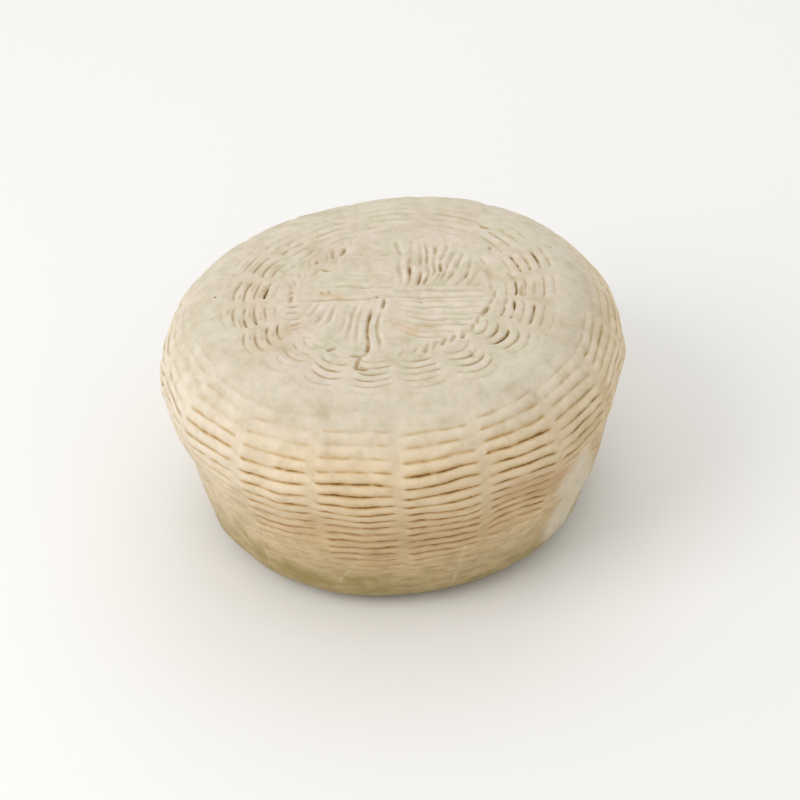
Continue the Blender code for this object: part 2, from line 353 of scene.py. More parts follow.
def rind_point(along, angle, depth=0.0, push=0.0):
    """Points of the uneven wheel, sunk by a depth along its normal and pushed out sideways.

    The crown lowers a point with the fourth power of its radius, and in proportion to its height.
    """
    radius, height, turn = profile(along)
    radius = radius - (depth - hand_marks(along, angle) - push) * np.sin(turn)
    height = height - depth * np.cos(turn)
    height = height - TOP_CROWN * (radius / WIDEST_RADIUS) ** 4 * height / HEIGHT
    radius = radius * unevenness(angle, height)
    turn_round = np.radians(angle)
    return np.stack([AXIS_FOOT[0] + radius * np.cos(turn_round) + LEAN_X * height,
                     AXIS_FOOT[1] + radius * np.sin(turn_round), height], -1)


def hidden_rows(cell):
    """The rows of a cell that the photograph doesn't show, in the rhythm of the others."""
    dice = np.random.default_rng(HIDDEN_SEED + cell)
    tilt = HIDDEN_TILT * cos(radians(UPRIGHT_STEP * (cell + 0.5)))
    places, strengths = HIDDEN_ROWS
    numbers = np.array(places) + (tilt, 0, 0, 0) + dice.normal(0, HIDDEN_SPREAD)
    return numbers, np.array(strengths) * dice.uniform(*HIDDEN_FACTORS, len(strengths))


def row_table(rows, count):
    """For all cells, the numbers that place their rows, 0 where not given, and the strengths."""
    places = np.zeros((UPRIGHTS, ROW_NUMBERS))
    strengths = np.zeros((UPRIGHTS, count + 1))
    for cell in range(UPRIGHTS):
        numbers, given = rows.get(cell) or hidden_rows(cell)
        places[cell, :len(numbers)] = numbers
        strengths[cell, :len(given)] = given
    return places, strengths


def row_place(places, count, cell):
    """Where the row of a given count lies along the profile.

    In a cell: the first place, plus the pitch for each count, less the climb from left to right,
    plus the droop times the square of the way from the middle, where climb and droop change
    evenly from row to row. Close to an upright, the two cells' own formulas pass smoothly into
    each other. Two random fields make the rows wander.
    """
    index = np.floor(cell).astype(int)
    within = cell - index
    change = np.clip(count, 0, LAST_CHANGE)
    total = np.zeros(np.broadcast(count, cell).shape)
    for step in (-1, 0, 1):
        first, pitch, climb, droop, climb_change, droop_change = np.moveaxis(
            places[(index + step) % UPRIGHTS], -1, 0)
        here = within - step
        weight = rise(here, -JOINT, JOINT) - rise(here, 1 - JOINT, 1 + JOINT)
        total += weight * (first + pitch * count - (climb + climb_change * change) * (here - 0.5)
                           + (droop + droop_change * change) * (2 * here - 1) ** 2)
    turn = 2 * pi * cell / UPRIGHTS
    wander_at = np.stack(np.broadcast_arrays(
        WIDEST_RADIUS * np.cos(turn), WIDEST_RADIUS * np.sin(turn), ROW_PITCH * count), -1)
    wide = swell(wander_at, WIDE_WANDER_SIZE, 21)
    narrow = swell(wander_at, NARROW_WANDER_SIZE, 22)
    return total + ROW_WANDER * (wide + mix(rise(count, *WANDER_ROWS), NARROW_WANDER, 1) * narrow)


def row_strength(strengths, count, cell, seed, margin, slope):
    """How strong a row's print is: its own strength, faded at both uprights at uneven places."""
    row = np.clip(np.round(count), 0, strengths.shape[1] - 1).astype(int)
    index = np.floor(cell).astype(int) % UPRIGHTS
    within = cell - np.floor(cell)
    dice = np.random.default_rng(seed)
    start, end = dice.uniform(*ROW_ENDS, (2,) + strengths.shape)[:, index, row] * margin
    ends = rise(within, start, start + slope) * rise(1 - within, end, end + slope)
    return strengths[index, row] * ends * (count > NO_ROW)


def row_relief(count, power):
    """Depth across rounded strands, from 0 on a crest to 1 in the seam at each whole count.

    It goes with the given power of the way left from the crest to the seam, and the crest is
    nearer the upper seam.
    """
    way = count - np.floor(count)
    off = np.where(way < ROPE_CREST, way / ROPE_CREST, (1 - way) / (1 - ROPE_CREST))
    return (1 - off) ** power


def crest_highlight_line(count, strength, distance):
    """A painted highlight: a bell at that distance below each seam, times the root of the row's
    strength.
    """
    below = ROW_PITCH * (count - np.floor(count)) - distance
    return np.clip(strength, 0, 1) ** 0.5 * bell(below, CREST_HIGHLIGHT_WIDTH)


def between(inner, outer, rings):
    """Rings that divide the way between two others evenly, without the outer one."""
    return mix(np.arange(rings)[:, None] / rings, inner, outer)


def rind_rings(cell):
    """For every ring of the mesh, its places along the profile and its counts of rows.

    Rings are even over the middle of the top, follow the rows where there are rows, and divide
    the way evenly in between.
    """
    strong = np.sort(np.ravel(np.arange(-1, FAINT_ROWS)[:, None] + np.array(ROW_LINES)))
    faint = np.sort(np.ravel(np.arange(FAINT_ROWS, SIDE_ROW_COUNT)[:, None]
                             + np.array(FAINT_ROW_LINES)))
    strong = strong[-1 - len(ROW_LINES) * FAINT_ROWS:]
    top_counts = strong[:1 + len(ROW_LINES) * TOP_ROW_COUNT]
    side_counts = np.concatenate([strong, faint])
    top = row_place(row_table(TOP_ROWS, TOP_ROW_COUNT)[0], top_counts[:, None], cell)
    side = row_place(row_table(SIDE_ROWS, SIDE_ROW_COUNT)[0], side_counts[:, None], cell)
    side = side + SIDE_SINK * rise(side_counts[:, None], *SINK_ROWS)
    relax = RELAXED_SHARE * rise(side_counts[:, None], *RELAXED_ROWS)
    side = mix(relax, side, np.mean(side, 1, keepdims=True))
    edge = np.full_like(cell, sum(profile_lengths()[:4]))
    centre = np.full_like(cell, sum(profile_lengths()))
    middle = np.full_like(cell, MIDDLE_END)
    blocks = [between(0 * middle, middle, MIDDLE_RINGS)[1:], between(middle, top[0], ROSETTE_RINGS),
              top, between(top[-1], side[0], BAND_RINGS)[1:],
              side, between(side[-1], edge, FOOT_RINGS)[1:], between(edge, centre, BASE_RINGS)]
    starts = np.cumsum([0] + [len(block) for block in blocks])
    counts = np.full((2, starts[-1]), NO_ROW)
    counts[0, starts[2]:starts[3]] = top_counts
    counts[1, starts[4]:starts[5]] = side_counts
    return np.concatenate(blocks), counts[0][:, None], counts[1][:, None]


def line_distance(points, line):
    """Distance to a bent line, and how far along it the nearest place is, from 0 to 1."""
    line = np.array(line, float)
    steps = np.linalg.norm(np.diff(line, axis=0), axis=1)
    passed = np.cumsum(steps) - steps
    nearest = np.full(points.shape[:-1], np.inf)
    way = np.zeros(points.shape[:-1])
    for start, end, step, before in zip(line[:-1], line[1:], steps, passed):
        share = np.clip((points - start) @ (end - start) / step ** 2, 0, 1)
        distance = np.linalg.norm(points - start - share[..., None] * (end - start), axis=-1)
        way = np.where(distance < nearest, before + share * step, way)
        nearest = np.minimum(nearest, distance)
    return nearest, way / steps.sum()


# --- Grooves of the top, in a plan seen from above: the line, width, depth, stain and tint.
# A tint of -1 is olive, 0 ochre to brown, and 1 reddish. ---
GROOVES = (
    # the stem, with the hook at its foot, and the strands beside it
    (((-7.2, -7.5), (-8.0, -23), (-8.6, -37.2)), 0.80, 1.10, 1.00, 0.1),
    (((-8.4, -35.2), (-10.2, -36.6), (-13.2, -36.8)), 0.90, 0.80, 1.00, 0.1),
    (((-9.7, -36.2), (-12.0, -43.2)), 1.00, 0.95, 1.10, 0.0),
    (((-12.2, -42.8), (-7.2, -43.9)), 0.80, 0.85, 1.00, 0.0),
    (((-2.6, -2.6), (-3.7, -9.5)), 0.70, 0.85, 0.80, 0.1),
    (((-3.8, -11), (-4.6, -20), (-4.4, -34)), 0.75, 0.85, 0.66, -0.4),
    (((-5.8, -5), (-6.3, -31)), 0.55, 0.60, 0.20, 0.6),
    (((-10.4, -8), (-11.6, -17), (-12.0, -33)), 0.65, 0.65, 0.30, -0.5),
    # the bar across the stem
    (((-31, -4.9), (-24, -5.0), (-14, -4.3), (-6, -2.9)), 0.65, 0.75, 0.50, 0.1),
    (((-5.8, -2.5), (-4.9, -2.3)), 0.70, 0.80, 1.00, 0.0),
    (((-3.0, -2.3), (1.0, -2.5)), 0.65, 0.80, 0.70, 0.0),
    (((1.0, -2.5), (8.0, -2.2)), 0.60, 0.60, 0.30, 0.3),
    (((-25, 3.2), (-16, 3.3), (-6, 3.2), (3, 2.6)), 0.75, 0.65, 0.25, 0.2),
    (((-24.1, 0.2), (-24, -1.9)), 0.65, 0.50, 0.85, 0.0),
    (((-21.8, 0.9), (-21.6, -1.5)), 0.65, 0.50, 0.85, 0.1),
    (((-22.5, 3.4), (-20.9, 2.8)), 0.60, 0.50, 0.60, 0.3),
    (((-17.5, -5.2), (-16, -5.0)), 0.60, 0.40, 0.50, 0.0),
    # the fan at the back right
    (((0.9, 31.5), (1.4, 27), (2.6, 22.3)), 0.75, 0.80, 0.60, 0.9),
    (((2.6, 21), (2.8, 4)), 0.65, 0.80, 0.30, 0.4),
    (((5.9, 22.6), (5.8, 15), (5.3, 7.3), (4.8, 3.8)), 0.75, 1.05, 0.85, 0.4),
    (((6.4, 32), (6.0, 22.6)), 0.65, 0.70, 0.30, 0.5),
    (((9.4, 31), (9.4, 22), (9.3, 13)), 0.70, 0.90, 0.35, 0.2),
    (((9.5, 13.0), (8.9, 8), (8.2, 3.8)), 0.75, 1.05, 0.88, 0.0),
    (((11.7, 32), (11.7, 23), (11.6, 15.5)), 0.75, 0.95, 0.60, 0.6),
    (((11.6, 15.5), (12.4, 12.6), (12.0, 9.8), (10.4, 4.4)), 0.75, 1.00, 0.80, 0.3),
    (((15.0, 28.5), (14.5, 22.5)), 0.70, 0.95, 0.80, 0.1),
    (((14.4, 22.5), (14.6, 13), (12.0, 5)), 0.70, 0.90, 0.42, 0.2),
    (((18.6, 30), (17.7, 24.5), (16.9, 18)), 0.70, 0.90, 0.50, 0.4),
    (((16.9, 18.0), (16.5, 12.6)), 0.90, 0.95, 0.85, -0.7),
    (((16.5, 12.8), (14.2, 5)), 0.65, 0.85, 0.42, 0.0),
    (((21.6, 26), (19.3, 18), (16.6, 8), (15.4, 4.8)), 0.70, 0.95, 0.45, 0.3),
    (((24.6, 24), (22, 17), (18.8, 8), (17.6, 4.4)), 0.70, 0.95, 0.45, 0.3),
    (((27.6, 21), (25.4, 13.2)), 0.65, 0.85, 0.42, 0.3),
    (((25.5, 13.4), (24.1, 8.6)), 0.70, 0.95, 0.85, 0.0),
    (((24.1, 8.8), (21.4, 4)), 0.65, 0.80, 0.35, 0.1),
    (((29.8, 14), (27.4, 8), (25.6, 3.8)), 0.65, 0.75, 0.35, 0.3),
    # short marks at the back left
    (((-17.1, 27.6), (-17.4, 25.2), (-18.4, 22.4)), 0.95, 1.00, 0.95, -0.8),
    (((-20.9, 26.8), (-21.0, 21)), 0.75, 0.90, 0.90, 0.1),
    (((-26.9, 26.4), (-29.4, 23.8)), 0.80, 0.75, 0.65, 0.1),
    (((-26.5, 19.6), (-26.4, 17.2)), 0.80, 0.90, 1.00, 0.0),
    (((-25, 14.7), (-23, 13.3), (-21, 12.8)), 0.75, 0.75, 0.70, 0.3),
    (((-22.8, 24.5), (-22.9, 18.5)), 0.60, 0.65, 0.40, 0.5),
    (((-24.6, 23.5), (-24.3, 17.5)), 0.55, 0.60, 0.30, 0.4),
    (((-19.2, 23), (-19.6, 16.5)), 0.55, 0.60, 0.35, 0.4),
    (((-28.8, 20), (-28.4, 14)), 0.60, 0.50, 0.30, 0.0),
    (((-17.4, 31.5), (-17.9, 29.2)), 0.60, 0.60, 0.55, 0.5),
    (((-15.2, 33), (-15.3, 30.6)), 0.60, 0.60, 0.40, 0.6),
    (((-31.8, 11.5), (-31.2, 8.6)), 0.65, 0.60, 0.50, 0.1),
    (((-33.8, 8), (-33.1, 3.6)), 0.65, 0.60, 0.45, 0.2),
    (((-10.6, 29.6), (-7, 27), (-2.8, 22.6)), 0.80, 0.55, 0.15, -0.3),
    # the ring round the rosette, as slanting ticks
    (((-34.8, 4.6), (-34.4, 2.6)), 0.70, 0.80, 0.70, 0.0),
    (((-34.5, 1.8), (-34.1, -0.9)), 0.80, 1.00, 0.88, 0.0),
    (((-34.0, -2.4), (-34.3, -6.4)), 0.80, 1.05, 0.90, 0.0),
    (((-35.4, -9.0), (-31.0, -7.9)), 0.70, 0.85, 0.60, 0.0),
    (((-35.4, -12.4), (-31.0, -11.0)), 0.70, 0.90, 0.62, 0.0),
    (((-35.0, -16.2), (-30.6, -14.8)), 0.70, 0.85, 0.55, 0.0),
    (((-34.4, -19.4), (-30.2, -18.0)), 0.70, 0.80, 0.50, -0.2),
    (((-33.8, -22.0), (-30.0, -20.6)), 0.65, 0.75, 0.45, 0.0),
    (((-29.8, -25.0), (-26.2, -26.8)), 0.70, 0.80, 0.60, -0.4),
    (((-25.8, -30.2), (-22.0, -31.8)), 0.70, 0.80, 0.60, -0.3),
    (((-21.2, -33.4), (-18.0, -31.6)), 0.70, 0.85, 0.80, 0.0),
    (((2.6, -36.4), (4.6, -32.2)), 0.62, 0.75, 0.50, -0.3),
    (((4.6, -36.0), (6.4, -31.8)), 0.58, 0.65, 0.40, -0.2),
    (((6.4, -35.4), (8.2, -31.2)), 0.62, 0.80, 0.60, -0.3),
    (((9.9, -34.2), (11.9, -29.4)), 0.70, 0.95, 0.80, 0.1),
    (((13.2, -32.2), (14.9, -27.8)), 0.64, 0.85, 0.65, -0.2),
    (((16.4, -30.3), (18.0, -26.1)), 0.66, 0.90, 0.70, -0.2),
    (((19.3, -28.8), (20.6, -24.3)), 0.70, 0.95, 0.82, 0.3),
    (((22.7, -25.8), (24.3, -21.2)), 0.70, 0.95, 0.80, -0.1),
    (((25.8, -23.0), (27.0, -18.4)), 0.74, 1.00, 0.88, 0.0),
    (((27.9, -18.2), (29.1, -13.4)), 0.68, 0.90, 0.68, -0.4),
    (((29.8, -14.0), (31.1, -11.0)), 0.70, 0.90, 0.80, -0.1),
    (((31.2, -12.6), (32.5, -8.0)), 0.76, 1.00, 0.85, -0.5),
    (((32.4, -7.6), (33.8, -3.2)), 0.68, 0.80, 0.55, 0.3),
    (((34.3, -3.0), (35.0, 1.4)), 0.68, 0.80, 0.60, -0.2),
    (((33.5, 2.2), (34.3, 6.2)), 0.66, 0.70, 0.45, 0.2),
    (((32.4, 16.0), (33.9, 7.0)), 1.80, 0.50, 0.52, 0.2),
    (((29.6, 21.5), (32.0, 16.6)), 1.20, 0.50, 0.42, 0.1),
    # marks outside it, where the uprights press deeper
    (((33.0, 28.4), (33.9, 26.2)), 0.80, 0.85, 0.95, -0.4),
    (((30.2, 42.2), (34.2, 39.4)), 1.10, 0.80, 0.95, 0.0),
    (((-36.0, 30.6), (-36.6, 27.8)), 0.80, 0.70, 0.60, 0.1),
    (((25.2, -33.0), (26.2, -36.6)), 0.80, 0.80, 0.70, 0.4),
    (((43.6, 5.4), (43.2, 1.2), (43.8, -1.6)), 0.90, 0.85, 0.82, 0.3),
    (((-43.2, 5.2), (-42.6, -1.2)), 0.85, 0.85, 0.80, 0.3),
    (((38.6, 12.6), (39.6, 10.2), (41.0, 8.6)), 0.80, 0.75, 0.70, 0.1),
    (((47.4, 3.6), (47.2, -0.6)), 0.75, 0.65, 0.50, 0.2),
    (((39.0, -3.2), (38.4, -6.4)), 0.75, 0.70, 0.55, 0.1),
)
# Fans of grooves: the first line, the last line, how many, then width, depth, stain and tint.
FANS = (
    (((2.0, 1.4), (9, 0.9), (33, 1.8)), ((1.5, -21.4), (9, -25.4), (33, -26.2)), 9,
     0.72, 0.85, 0.32, 0.2),
    (((-17.6, -7), (-21.6, -16.5), (-25.5, -26)), ((-26.5, -6), (-29.4, -11.5), (-33, -17)), 4,
     0.72, 0.75, 0.30, -0.3),
    (((-13.9, -6.9), (-15.2, -12), (-18.2, -25)), ((-12.2, -6.9), (-13.2, -12), (-15.0, -27)), 2,
     0.75, 0.80, 0.45, -0.4),
    (((-17, 22.8), (-10, 22.6), (-0.5, 22.2)), ((-20, 7.0), (-10, 7.2), (1.5, 7.0)), 6,
     0.80, 0.40, 0.08, 0.0),
    (((-31, 6.0), (-28, 12)), ((-16, 25), (-15, 31)), 6,
     0.62, 0.55, 0.35, 0.2),
)
FAN_LIMIT = (30.5, 32.5)        # the fans end under the ring
FAN_SCATTER = 0.45              # how far chance moves a fan's lines,
FAN_FACTORS = (0.6, 1.15)       # and how strong it makes them
RING_RADIUS = 34.0
RING_WIDTH = 1.3
RING_DEPTH = 0.20
BACK_SIDE = ((30, 60), (120, 150))
RING_LOSS = 0.5                 # how much weaker the ring is at the back
GROOVE_WANDER = 0.22
GROOVE_WANDER_SIZE = 13
GROOVE_UNEVENNESS = ((0.22, 7, 35),)
GROOVE_DEPTH = 0.80             # millimetres for a groove whose depth is given as 1
GROOVE_TAPER = 0.75
GROOVE_SECTION = ((0.42, 0.72), (0.58, 1.9))
GROOVE_SPREAD = ((0.80, 0.60), (0.20, 1.7))
# Painted shade: the share of a groove's stain that grows with its depth.
SHADE_BY_DEPTH = 0.16
STAIN_BY_STAIN = 0.58
STAIN_POWER = 1.6
# The lips are raised, and also lighten the colour as a painted highlight.
LIP_DISTANCE = 1.35             # a groove's raised lips lie this far from its line
LIP_WIDTH = 0.60
LIP_HEIGHT = 0.10
LIP_STRENGTH = 1.25
LIP_STAINS = (0.08, 0.34)       # a lip fades out between these stains
CLEAR_OF_GROOVES = (0.05, 0.30) # and the rows' painted crest highlights between these
LEAST_STAIN = 0.01              # keeps the mean tint from a division by zero
TOP_END = 66.0

# Thin raised streaks low on the side, as pairs of angle and place.
STREAKS = (((287.3, 121), (283.6, 150)), ((260.5, 121), (252.0, 142)), ((231.5, 116), (231.8, 144)))
STREAK_HEIGHT = 0.16
STREAK_WIDTH = 0.9
STREAK_REACH = 2.5
STREAK_WAVE = 0.35
STREAK_TURNS = 5                # radians of that wave from end to end
STREAK_ENDS = ((0, 0.15), (0.8, 1))

# Washes of colour: from one angle and place to another, breadth, strength and tint.
WASHES = (
    ((184, 24.0), (191, 14.0), 2.2, 0.60, 0.0),
    ((278, 21.0), (300, 25.5), 2.6, 0.40, -0.1),
    ((17, 34.0), (24, 33.0), 3.0, 0.30, 0.2),
    ((225, 128.0), (230, 137.0), 4.2, 0.75, -0.6),
    ((236, 139.0), (247, 142.0), 4.0, 0.80, -0.7),
    ((254, 141.0), (264, 142.0), 4.0, 0.75, -0.7),
    ((262, 129.0), (285, 128.0), 5.0, 0.22, 0.1),
    ((299, 101.0), (313, 105.0), 8.0, 0.72, 0.50),
    ((278, 116.0), (300, 113.0), 9.0, 0.40, 0.15),
    ((262, 96.0), (320, 93.0), 12.0, 0.22, 0.1),
    ((250, 112.0), (268, 114.0), 9.0, 0.32, 0.0),
    ((264, 106.0), (284, 106.0), 9.0, 0.34, 0.05),
    ((318, 92.0), (335, 92.0), 6.0, 0.50, -0.25),
    ((352, 74.0), (2, 76.0), 7.0, 0.27, -0.6),
    ((336, 57.0), (362, 62.0), 13.0, 0.11, -0.6),
    ((168, 47.0), (198, 48.0), 7.0, 0.16, 0.0),
    ((213, 43.0), (216, 50.0), 5.0, 0.28, 0.0),
    ((135, 36.0), (146, 32.0), 6.0, 0.22, 0.5),
    ((10, 43.0), (20, 44.0), 5.0, 0.12, 0.2),
    ((275, 38.0), (300, 39.0), 3.5, 0.18, -0.5),
)
WASH_WANDER = 1.6
WASH_WANDER_SIZE = 10
# Smooth greyish patch low on the right, where no print shows: its line and its breadth.
BALD_PATCH = ((323, 111), (330, 122), (324, 138))
BALD_BREADTH = 11.5

# Small dark specks, as pairs of angle and place.
SPECKS = ((180.9, 59.6), (335.6, 57.5), (328, 11.6), (28.4, 60.6), (5, 80.2), (298.8, 69.0),
          (327.5, 120.8))
SPECK_SIZE = 0.65
SPECK_DEPTH = 0.35


def fan_lines(first, last, count):
    """A fan's lines, each a mix of the first and the last one by its share of the way.

    Chance moves each a little out of place, and gives each a factor on how strong it is.
    """
    dice = np.random.default_rng(count)
    first, last = np.array(first), np.array(last)
    lines = []
    for share in np.linspace(0, 1, count):
        line = mix(share, first, last) + dice.normal(0, FAN_SCATTER, first.shape)
        lines.append((line, dice.uniform(*FAN_FACTORS)))
    return lines


def top_grooves(along, angle):
    """Depth, stain (part of it painted shade), tint and raised lips (also a painted highlight) of the
    grooves on the top.

    At each point the deepest groove counts. A groove's cross-section is a narrow bell on a wide
    shallow one, and it tapers to both ends with the fourth power of the way from its middle. Part of
    its stain grows with its depth, which is painted shade in the groove. Its lips are bells at a
    distance from its line, which also make a painted highlight, and fade out where the top is
    stained.
    """
    radius, height, _ = profile(along)
    reach = radius * unevenness(angle, height)
    turn = np.radians(angle)
    plan = reach[..., None] * np.stack([np.cos(turn), np.sin(turn)], -1)
    plan = plan + GROOVE_WANDER * np.stack(
        [swell(plan, GROOVE_WANDER_SIZE, seed) for seed in (31, 32)], -1)
    inside = 1 - rise(reach, *FAN_LIMIT)
    lines = [(groove, 1.0) for groove in GROOVES]
    for first, last, count, *numbers in FANS:
        for line, factor in fan_lines(first, last, count):
            lines.append(((line, *numbers), inside * factor))
    uneven = uneven_factor(plan, GROOVE_UNEVENNESS)
    depth, stain, tint, lip_and_highlight = (np.zeros(along.shape) for _ in range(4))
    for (line, width, groove_depth, groove_stain, groove_tint), share in lines:
        distance, way = line_distance(plan, line)
        strength = (1 - GROOVE_TAPER * (2 * way - 1) ** 4) * share * uneven
        section = bells(distance, width, GROOVE_SECTION)
        depth = np.maximum(depth, GROOVE_DEPTH * groove_depth * strength * section)
        lip_and_highlight = np.maximum(lip_and_highlight, groove_depth * strength * bell(distance - LIP_DISTANCE, LIP_WIDTH))
        # part of the darkness is painted shade that grows with the groove's depth
        darkness = SHADE_BY_DEPTH * groove_depth + STAIN_BY_STAIN * groove_stain ** STAIN_POWER
        here = darkness * strength * bells(distance, width, GROOVE_SPREAD)
        tint = np.where(here > stain, groove_tint, tint)
        stain = np.maximum(stain, here)
    ring = bell(reach - RING_RADIUS, RING_WIDTH) * (1 - RING_LOSS * span(angle % 360, *BACK_SIDE))
    lip_and_highlight = LIP_STRENGTH * lip_and_highlight * (1 - rise(stain, *LIP_STAINS))
    return depth + RING_DEPTH * ring, stain, tint, lip_and_highlight


def top_row_print(count, cell, plain):
    """Depth, stain and painted crest highlight of the rows on the top, broken into dashes by a random
    field.
    """
    strengths = row_table(TOP_ROWS, TOP_ROW_COUNT)[1]
    top = row_strength(strengths, count, cell, 44, TOP_MARGIN, TOP_END_SLOPE)
    patchy = uneven_factor(plain, TOP_UNEVENNESS)
    dashes = mix(rise(swell(plain, DASH_SIZE, 47), *DASH_FIELD), DASH_GAP, 1)
    gap = ROW_PITCH * (count - np.round(count))
    between_rows = ROW_PITCH * (count - np.floor(count) - ROPE_CREST)
    weak = WEAK_STRENGTH * span(cell, *DOUBLED_CELLS) * rise(swell(plain, WEAK_SIZE, 48), *WEAK_FIELD)
    depth = top * patchy * (TOP_ROPE_DEPTH * row_relief(count, TOP_ROPE_POWER)
                            + TOP_SEAM_DEPTH * dashes * bell(gap, TOP_SEAM_WIDTH)
                            + WEAK_DEPTH * weak * bell(between_rows, WEAK_WIDTH))
    darkness = TOP_STAIN[0] + TOP_STAIN[1] * (top * patchy) ** 2
    stain = top * dashes * (darkness * bell(gap, TOP_STAIN_WIDTH)
                            + WEAK_STAIN * weak * bell(between_rows, WEAK_STAIN_WIDTH))
    return depth, stain, TOP_CREST_HIGHLIGHT * crest_highlight_line(count, top, TOP_HIGHLIGHT_AT) * (1 - weak)


def side_row_print(along, count, cell, plain, bald):
    """Depth, stain with painted shade, and painted crest highlight of the rows round the side.

    A thin broken crevice lies in the valley between two rounded strands. The stain is dark in the
    crevice and pale for a little above it, where the pale stain is painted shade on the strand's
    lower side as well, and the crest is a painted highlight on the upper part of the strand below.
    """
    strengths = row_table(SIDE_ROWS, SIDE_ROW_COUNT)[1]
    side = row_strength(strengths, count, cell, 45, SIDE_MARGIN, SIDE_END_SLOPE)
    side = side * (1 - BALD_LOSS * rise(bald, *BALD_EDGE))
    patchy = uneven_factor(plain, SIDE_UNEVENNESS, SIDE_LIMITS)
    broken = rise(swell(plain, BREAK_SIZE, 43), *BREAK_FIELD)
    soft = 1 - rise(along, *SOFT_ROWS)
    gap = ROW_PITCH * (count - np.round(count))
    seam = mix(soft, *SEAM_SHARE) * broken * bell(gap, mix(soft, *SEAM_WIDTH))
    relief = row_relief(count, mix(soft, *ROPE_POWER))
    depth = ROPE_DEPTH * side ** ROPE_BY_STRENGTH * patchy * relief
    depth += SEAM_DEPTH * side * patchy * seam + TWIST_HEIGHT * side * swell(plain, TWIST_SIZE, 49)
    core_width = mix(soft, *CORE_WIDTH) + CORE_WIDER * rise(along, *REDDISH_ROWS)
    core = mix(soft, *CORE_STAIN) * mix(broken, CORE_GAP, 1) * bell(gap, core_width)
    # ochre stain and painted shade on the lower side of the strand, just above the seam
    halo = mix(soft, *HALO_STAIN_AND_SHADE) * bell(gap + HALO_AT, HALO_WIDTH)
    stain = (side * patchy) ** STAIN_CONTRAST * (core + halo)
    return depth, stain, crest_highlight_line(count, side, SIDE_HIGHLIGHT_AT)


def upright_print(along, cell):
    """Depth of the dents that the uprights leave down the side: a bell round each upright."""
    from_upright = np.abs(cell - np.round(cell)) * 2 * pi * WIDEST_RADIUS / UPRIGHTS
    return UPRIGHT_DENT * span(along, *UPRIGHT_PLACES) * bell(from_upright, UPRIGHT_WIDTH)


def row_tint(along, cell):
    """Tint of the rows' stain: olive away from the front, and reddish low on the front."""
    middle, near, far = OLIVE_CELLS
    aside = rise(np.abs(cell - middle), near, far)
    return REDDISH_TINT * (1 - aside) * rise(along, *REDDISH_ROWS) + OLIVE_TINT * aside


def surface_line(ends):
    """The points in space of pairs of angle and place."""
    angle, along = np.array(ends, float).T
    return rind_point(along, angle)


def washes(plain):
    """Strength and tint of the broad washes of colour: a bell round each one's line."""
    strength, tint = np.zeros(plain.shape[:-1]), np.zeros(plain.shape[:-1])
    wavy = plain + WASH_WANDER * np.stack(
        [swell(plain, WASH_WANDER_SIZE, seed) for seed in (51, 52, 53)], -1)
    for start, end, breadth, wash, wash_tint in WASHES:
        here = wash * bell(line_distance(wavy, surface_line((start, end)))[0], breadth)
        tint = np.where(here > strength, wash_tint, tint)
        strength = np.maximum(strength, here)
    return strength, tint


def specks(plain):
    """1 in the middle of each small speck and 0 away from it."""
    found = np.zeros(plain.shape[:-1])
    for middle in surface_line(SPECKS):
        found = np.maximum(found, bell(np.linalg.norm(plain - middle, axis=-1), SPECK_SIZE))
    return found


def streaks(along, angle):
    """How close the nearest thin raised streak is, and how far it lies to one side of it.

    A streak runs down the side, with its angle an even function of the place plus a sine. The
    first number is a wide bell, which fades to both ends; the second is signed, in millimetres.
    """
    near, beside = np.zeros(along.shape), np.full(along.shape, np.inf)
    for (start_angle, start), (end_angle, end) in STREAKS:
        way = (along - start) / (end - start)
        middle = mix(way, start_angle, end_angle) + STREAK_WAVE * np.sin(STREAK_TURNS * way)
        off = WIDEST_RADIUS * np.radians(angle - middle)
        closer = np.abs(off) < np.abs(beside)
        strength = bell(off, STREAK_REACH) * span(way, *STREAK_ENDS)
        near, beside = np.where(closer, strength, near), np.where(closer, off, beside)
    return near, beside


def on_rind(along):
    """1 on the top and the side, and 0 on the flat base."""
    return 1 - rise(along, *BASE_EDGE)


def with_poles(values):
    """A grid's values in one row, followed by the mean of its first ring and of its last one."""
    flat = values.reshape(-1, *values.shape[2:])
    return np.concatenate([flat, values[:1].mean(1), values[-1:].mean(1)])


def grid_mesh(name, points):
    """A closed mesh of rings by columns, with a pole at either end. Its faces point outwards."""
    rings, columns = points.shape[:2]
    ring, column = np.meshgrid(np.arange(rings - 1), np.arange(columns), indexing="ij")
    after = (column + 1) % columns
    quads = np.stack([ring * columns + column, (ring + 1) * columns + column,
                      (ring + 1) * columns + after, ring * columns + after], -1).reshape(-1, 4)
    around = np.arange(columns)
    beyond = (around + 1) % columns
    pole = rings * columns
    last = (rings - 1) * columns
    caps = [np.stack([np.full(columns, pole), around, beyond], -1),
            np.stack([np.full(columns, pole + 1), last + beyond, last + around], -1)]
    mesh = bpy.data.meshes.new(name)
    corners = with_poles(points) * MM
    mesh.from_pydata(corners.tolist(), [], quads.tolist() + np.concatenate(caps).tolist())
    mesh.shade_smooth()
    return mesh


